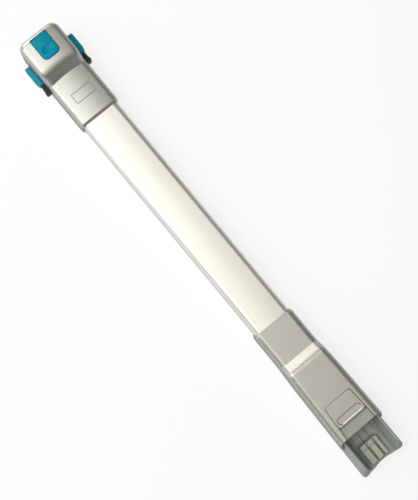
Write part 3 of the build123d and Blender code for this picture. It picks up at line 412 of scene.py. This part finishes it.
@dataclass(frozen=True)
class ThumbButton:
    """Release button whose round dimple is drawn out across it to the oval of the real one.

    Attributes:
        name: the piece's name.
        node: the CAD node that it stands for.
        body: the body that carries it.
        from_edge_mm: middle of the dimple, from the button's lower end.
        radius_mm: radius of the ball that hollows the dimple.
        depth_mm: depth of the dimple.
        crown_mm: radius of the button's crown across the tube.
        upright: least upward share of a normal on the button's front.
        stretch: how far the dimple is drawn out across the button.
        merge_mm: distance within which corners of triangles are one.
        near_mm: how close a corner lies to the surface that it belongs to.
        crease: angle in radians from which an edge stays sharp.
    """

    name: str = "thumb_button"
    node: str = "upper_release_button"
    body: str = "upper_button"
    from_edge_mm: float = 9.0
    radius_mm: float = 14.0
    depth_mm: float = 1.2
    crown_mm: float = 170.0
    upright: float = 0.997
    stretch: float = 1.45
    merge_mm: float = 0.0005
    near_mm: float = 0.02
    crease: float = 0.2

    def fall(self, y: float) -> float:
        """How far the crown lies below its top line.

        Args:
            y: place across the button, in metres.

        Returns:
            The fall in metres.
        """
        radius = self.crown_mm * MM
        return radius - math.sqrt(radius * radius - y * y)

    def build(self, material: bpy.types.Material) -> None:
        """Builds the button from the CAD button's shape, with the oval dimple.

        Args:
            material: the button's finish.
        """
        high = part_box(self.node)[1]
        ball = Vector((high.x - self.from_edge_mm * MM, 0.0, high.z + (self.radius_mm - self.depth_mm) * MM))
        near = self.near_mm * MM
        mesh = bmesh.new()
        mesh.from_mesh(frame["nodes"][self.node].data)
        bmesh.ops.remove_doubles(mesh, verts=mesh.verts, dist=self.merge_mm * MM)
        front = {v for v in mesh.verts if abs(high.z - self.fall(v.co.y) - v.co.z) < near}
        dimple = {v for v in mesh.verts if abs((v.co - ball).length - self.radius_mm * MM) < near}
        faces = [f for f in mesh.faces if f.normal.z > self.upright and front.issuperset(f.verts)]
        inside = set(faces)
        outline = [e for f in faces for e in f.edges if not inside.issuperset(e.link_faces)]
        # The front round the dimple comes off, and is filled again once the dimple is wider.
        bmesh.ops.delete(mesh, geom=faces, context="FACES")
        for vert in dimple:
            if vert.is_valid and vert.co.z > high.z - 2 * self.depth_mm * MM:
                x, y, z = vert.co
                wide = y * self.stretch
                vert.co = (x, wide, z + self.fall(y) - self.fall(wide))
        bmesh.ops.triangle_fill(mesh, use_beauty=True, edges=outline, normal=(0.0, 0.0, 1.0))
        mesh.normal_update()
        for edge in mesh.edges:
            edge.smooth = edge.calc_face_angle(0.0) < self.crease
        for edge in outline:
            edge.smooth = False
        for face in mesh.faces:
            face.smooth = True
        data = bpy.data.meshes.new(self.name)
        mesh.to_mesh(data)
        mesh.free()
        data.materials.append(material)
        button = bpy.data.objects.new(self.name, data)
        bpy.context.scene.collection.objects.link(button)
        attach(button, self.body)
        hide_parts(self.node)


@dataclass
class Tube(SubAssembly):
    """Flattened tube with its gaskets and the two leads in its channel."""

    title: str = "tube"
    nodes: tuple[str, ...] = (
        "tube_extrusion", "upper_tube_gasket", "lower_tube_gasket", "positive_lead", "negative_lead",
    )


@dataclass
class UpperCoupling(SubAssembly):
    """Coupling for the hand unit, with its button, side clips and a bare plate on its sleeve.

    Attributes:
        plate_from_end_mm: middle of the plate, from the sleeve's end.
        plate_mm: size of the plate along X and Y.
        plate_rise_mm: how far the plate stands above the sleeve.
        plate_sink_mm: how far it goes into the sleeve.
        rim_mm: width of the plate's raised rim.
        rim_rise_mm: height of that rim above the plate.
        corner_mm: corner radius of the plate.
        least_corner_mm: corner radius that the rim's inner outlines keep.
        corner_steps: number of edges around a corner.
        side_steps: number of points along each long side, so that the plate follows the sleeve's crown.
        button: the release button.
        springs: the leaf springs under the button and the clips.
    """

    title: str = "upper coupling"
    nodes: tuple[str, ...] = (
        "upper_front_shell", "upper_rear_shell", "upper_socket_liner", "upper_socket_seal",
        "upper_terminal_block", "upper_contact_blades", "upper_release_button", "upper_button_pin",
        "upper_button_spring", "right_clip_bracket", "left_clip_bracket", "right_clip_lever",
        "left_clip_lever", "right_clip_pin", "left_clip_pin", "right_clip_spring", "left_clip_spring",
        "upper_rear_screws",
    )
    plate_from_end_mm: float = 30.7
    plate_mm: tuple[float, float] = (12.9, 26.3)
    plate_rise_mm: float = 0.1
    plate_sink_mm: float = 0.3
    rim_mm: float = 1.1
    rim_rise_mm: float = 0.4
    corner_mm: float = 0.8
    least_corner_mm: float = 0.1
    corner_steps: int = 6
    side_steps: int = 11
    button: ThumbButton = ThumbButton()
    springs: tuple[LeafSpring, ...] = (
        LeafSpring("button_leaf_spring", "upper_button_spring", "upper_button_press", (0.0, 0.0, 1.0), 0.84),
        LeafSpring("right_clip_leaf_spring", "right_clip_spring", "right_clip_press", (0.0, 1.0, 0.0), 0.18),
        LeafSpring("left_clip_leaf_spring", "left_clip_spring", "left_clip_press", (0.0, -1.0, 0.0), 0.18),
    )

    def side(self, sx: int, inset_mm: float) -> list[tuple[float, float]]:
        """One long side of the plate's rounded outline, as X and Y in metres.

        Args:
            sx: 1 for the side towards the lower end, -1 for the other.
            inset_mm: how far inside the plate's edge the outline runs.

        Returns:
            Points from the lowest Y to the highest.
        """
        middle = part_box("upper_front_shell")[1].x - self.plate_from_end_mm * MM
        radius = max(self.corner_mm - inset_mm, self.least_corner_mm) * MM
        reach = [s * MM / 2 - inset_mm * MM - radius for s in self.plate_mm]
        turns = [math.pi / 2 * step / self.corner_steps for step in range(self.corner_steps + 1)]
        corner = [(reach[0] + radius * math.cos(a), reach[1] + radius * math.sin(a)) for a in turns]
        gaps = [reach[1] * (2 * step / (self.side_steps + 1) - 1) for step in range(1, self.side_steps + 1)]
        points = [(x, -y) for x, y in reversed(corner)]
        points += [(reach[0] + radius, y) for y in gaps]
        points += corner
        return [(middle + sx * x, y) for x, y in points]

    def build(self, materials: dict[str, bpy.types.Material]) -> None:
        """Builds the bare plate on the sleeve, the button and the leaf springs.

        Args:
            materials: record slot to material.
        """
        self.plate(materials[SILVER.slot])
        self.button.build(materials[TEAL.slot])
        for spring in self.springs:
            spring.build(materials[STEEL.slot])

    def plate(self, material: bpy.types.Material) -> None:
        """Builds the plate: a sunk foot, a raised rim and a field inside it that follows the sleeve.

        Args:
            material: the plate's finish.
        """
        rise = self.plate_rise_mm + self.rim_rise_mm
        slant = self.rim_rise_mm
        rings = (
            (0.0, -self.plate_sink_mm),
            (0.0, self.plate_rise_mm),
            (slant, rise),
            (self.rim_mm - slant, rise),
            (self.rim_mm, self.plate_rise_mm),
        )
        mesh = bmesh.new()
        loops = []
        for inset, height in rings:
            points = self.side(1, inset) + self.side(-1, inset)[::-1]
            loops.append([mesh.verts.new((x, y, self.sleeve_top(x, y) + height * MM)) for x, y in points])
        for lower, upper in zip(loops, loops[1:]):
            for i in range(len(lower)):
                j = (i + 1) % len(lower)
                mesh.faces.new((lower[i], lower[j], upper[j], upper[i]))
        for loop in (loops[0], loops[-1]):
            for i in range(len(loop) // 2 - 1):
                mesh.faces.new((loop[i], loop[i + 1], loop[-2 - i], loop[-1 - i]))
        bmesh.ops.recalc_face_normals(mesh, faces=mesh.faces)
        data = bpy.data.meshes.new("sleeve_plate")
        mesh.to_mesh(data)
        mesh.free()
        plate = bpy.data.objects.new("sleeve_plate", data)
        bpy.context.scene.collection.objects.link(plate)
        data.materials.append(material)
        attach(plate, "wand")
        LOG.info("%s: sleeve_plate", self.title)

    def sleeve_top(self, x: float, y: float) -> float:
        """Height of the sleeve's front face.

        Args:
            x: place along the tube, in metres.
            y: place across it, in metres.

        Returns:
            The height in metres.
        """
        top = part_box("upper_front_shell")[1].z
        shell = frame["nodes"]["upper_front_shell"]
        hit, point, _, _ = shell.ray_cast(Vector((x, y, 2 * top)), Vector((0.0, 0.0, -1.0)))
        return point.z if hit else top


@dataclass
class LowerCoupling(SubAssembly):
    """Coupling for the floor head, with its latch, open neck and contacts.

    Attributes:
        springs: the leaf spring under the latch lever.
    """

    title: str = "lower coupling"
    nodes: tuple[str, ...] = (
        "lower_front_shell", "lower_rear_shell", "lower_neck", "lower_terminal_block",
        "lower_contact_strips", "lower_latch_lever", "lower_button_cap", "lower_latch_pin",
        "lower_latch_spring", "lower_rear_screws",
    )
    springs: tuple[LeafSpring, ...] = (
        LeafSpring("latch_leaf_spring", "lower_latch_spring", "lower_latch_press", (0.0, 0.0, 1.0), 0.58),
    )

    def build(self, materials: dict[str, bpy.types.Material]) -> None:
        """Builds the leaf spring.

        Args:
            materials: record slot to material.
        """
        for spring in self.springs:
            spring.build(materials[STEEL.slot])


# Stage


@dataclass
class Lamp:
    """A soft square lamp aimed at a point, all in metres.

    Attributes:
        name: the lamp's name.
        place: where it stands.
        aim: what it points at.
        size: side of the lamp.
        watts: power.
        colour: sRGB hex colour.
    """

    name: str
    place: tuple[float, float, float]
    aim: tuple[float, float, float]
    size: float
    watts: float
    colour: str = "#FFFFFF"

    def build(self) -> None:
        """Adds the lamp to the scene."""
        data = bpy.data.lights.new(self.name, "AREA")
        data.size = self.size
        data.energy = self.watts
        data.color = linear(self.colour)[:3]
        lamp = bpy.data.objects.new(self.name, data)
        way = Vector(self.aim) - Vector(self.place)
        lamp.matrix_world = Matrix.Translation(self.place) @ way.to_track_quat("-Z", "Y").to_matrix().to_4x4()
        lamp.visible_camera = False
        bpy.context.scene.collection.objects.link(lamp)


@dataclass
class Studio:
    """Pale floor, soft lamps, even surround and the photograph's camera.

    Attributes:
        lamps: the lamps.
        surround: strength of the even light.
        surround_colour: sRGB hex colour of that light.
        floor_colour: sRGB hex colour of the floor as it throws light back on the object.
        floor_lift: how much brighter the floor looks than the lamps make it, so that it is white.
        floor_half: half the floor's side, in metres.
        camera_place: the camera, in metres.
        camera_right: direction of the image's right edge.
        camera_down: direction of the image's lower edge.
        focal_px: focal length in pixels of the photograph.
        image_px: width and height of the photograph.
        sensor_mm: height of the sensor.
    """

    lamps: tuple[Lamp, ...] = (
        Lamp("window_softbox", (-0.8, -0.75, 1.9), (-0.1, -0.05, 0.0), 1.6, 17.5, "#FFFFFC"),
        Lamp("side_window", (-0.9, -1.8, 1.3), (0.0, 0.0, 0.0), 2.0, 15.0, "#FFFDF8"),
        Lamp("top_softbox", (0.1, -0.4, 1.9), (0.1, -0.4, 0.0), 1.5, 9.3, "#FFF6E9"),
        Lamp("low_window", (-2.3, -0.2, 0.75), (0.1, 0.0, 0.03), 1.1, 19.0, "#FFF9EC"),
    )
    surround: float = 0.12
    surround_colour: str = "#FCFDFA"
    floor_colour: str = "#898989"
    floor_lift: float = 0.78
    floor_half: float = 30.0
    camera_place: tuple[float, float, float] = (-0.004575, -0.10337, 1.21172)
    camera_right: tuple[float, float, float] = (0.637152, 0.767955, 0.065447)
    camera_down: tuple[float, float, float] = (0.770739, -0.634862, -0.053980)
    focal_px: float = 1050.0
    image_px: tuple[int, int] = (418, 500)
    sensor_mm: float = 24.0

    def build(self) -> None:
        """Builds the floor, the world, the lamps and the camera."""
        self.floor()
        self.world()
        for lamp in self.lamps:
            lamp.build()
        self.camera()
        bpy.context.scene.view_settings.view_transform = "Standard"

    def floor(self) -> None:
        """Lays a pale floor that the camera sees as white, with the object's shadow on it."""
        half = self.floor_half
        data = bpy.data.meshes.new("pale_floor")
        corners = [(-half, -half, 0.0), (half, -half, 0.0), (half, half, 0.0), (-half, half, 0.0)]
        data.from_pydata(corners, [], [(0, 1, 2, 3)])
        material = bpy.data.materials.new("white_paper")
        material.use_nodes = True
        tree = material.node_tree
        tree.nodes.clear()
        seen = self.seen(tree)
        paper = add_node(tree, "ShaderNodeBsdfDiffuse", inputs={"Color": linear(self.floor_colour)}).outputs[0]
        lift = add_node(
            tree, "ShaderNodeEmission", inputs={"Color": linear("#FFFFFF"), "Strength": self.floor_lift}
        ).outputs[0]
        bright = add_node(tree, "ShaderNodeAddShader", inputs={0: paper, 1: lift}).outputs[0]
        mixed = add_node(tree, "ShaderNodeMixShader", inputs={0: seen, 1: paper, 2: bright}).outputs[0]
        add_node(tree, "ShaderNodeOutputMaterial", inputs={"Surface": mixed})
        data.materials.append(material)
        floor = bpy.data.objects.new("pale_floor", data)
        bpy.context.scene.collection.objects.link(floor)

    def seen(self, tree: bpy.types.NodeTree) -> bpy.types.NodeSocket:
        """1 for rays that show the background: from the camera, a mirror or glass.

        Args:
            tree: the floor's nodes.

        Returns:
            The value's socket.
        """
        path = add_node(tree, "ShaderNodeLightPath").outputs
        either = add_node(
            tree,
            "ShaderNodeMath",
            {"operation": "MAXIMUM"},
            {0: path["Is Glossy Ray"], 1: path["Is Transmission Ray"]},
        ).outputs[0]
        return add_node(
            tree, "ShaderNodeMath", {"operation": "MAXIMUM"}, {0: path["Is Camera Ray"], 1: either}
        ).outputs[0]

    def world(self) -> None:
        """Makes an even, nearly neutral surround."""
        world = bpy.data.worlds.new("even_surround")
        world.use_nodes = True
        tree = world.node_tree
        tree.nodes.clear()
        light = add_node(
            tree,
            "ShaderNodeBackground",
            inputs={"Color": linear(self.surround_colour), "Strength": self.surround},
        ).outputs[0]
        add_node(tree, "ShaderNodeOutputWorld", inputs={"Surface": light})
        bpy.context.scene.world = world

    def camera(self) -> None:
        """Adds the photograph's camera."""
        data = bpy.data.cameras.new("photo_camera")
        data.sensor_fit = "VERTICAL"
        data.sensor_height = self.sensor_mm
        data.lens = self.focal_px / self.image_px[1] * self.sensor_mm
        right = Vector(self.camera_right).normalized()
        up = -Vector(self.camera_down).normalized()
        back = right.cross(up)
        turn = Matrix((right, up, back)).transposed().to_4x4()
        camera = bpy.data.objects.new("photo_camera", data)
        camera.matrix_world = Matrix.Translation(self.camera_place) @ turn
        bpy.context.scene.collection.objects.link(camera)
        bpy.context.scene.camera = camera


def main() -> None:
    """Builds and dresses the tube, and sets it on the stage."""
    logging.basicConfig(level=logging.INFO, format="%(name)s: %(message)s")
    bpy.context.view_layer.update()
    materials = {finish.slot: finish.build() for finish in FINISHES}
    for group in (Tube(), UpperCoupling(), LowerCoupling()):
        group.dress(materials)
        group.build(materials)
    Studio().build()


if __name__ == "__main__":
    main()
